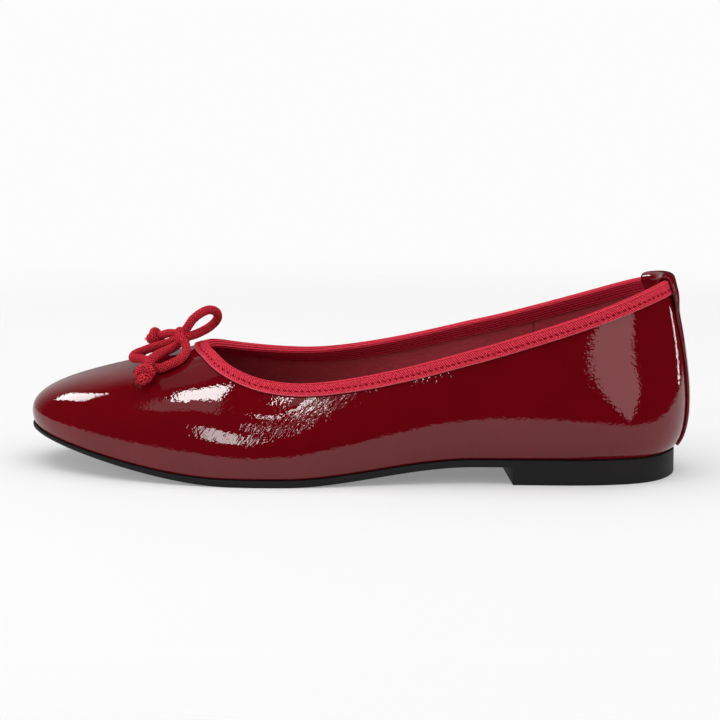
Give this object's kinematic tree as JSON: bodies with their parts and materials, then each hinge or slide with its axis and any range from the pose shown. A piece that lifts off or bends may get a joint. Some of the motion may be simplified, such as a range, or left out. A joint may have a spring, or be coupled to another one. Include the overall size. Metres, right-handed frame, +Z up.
{
  "type": "ballet flat",
  "caption": "Women's low ballet flat in dark red crinkled patent leather, with a red ribbed tape round the opening, a cord bow at the throat, a back strap, a thin sole and a low heel block.",
  "frame": {"origin": "on the floor, in the middle of the heel block's resting face", "axes": "+Z up, the toe towards -X, the back towards +X, the outer side towards -Y and the inner side towards +Y"},
  "size_m": [0.2502, 0.0821, 0.0753],
  "materials": {
    "burgundy_patent": "high gloss, crinkled",
    "red_tape": "matt woven ribs",
    "red_cord": "matt braid",
    "black_rubber": "satin",
    "burgundy_sock": "matt, fine grain"
  },
  "bodies": {
    "root": {"upper": "burgundy_patent", "outsole": "black_rubber", "heel": "black_rubber", "insole": "burgundy_sock", "topline_binding": "red_tape", "back_strap": "burgundy_patent", "bow_knot": "red_cord", "near_loop": "red_cord", "far_loop": "red_cord", "near_tail": "red_cord", "far_tail": "red_cord", "near_tail_knot": "red_cord", "far_tail_knot": "red_cord"}
  },
  "joints": []
}
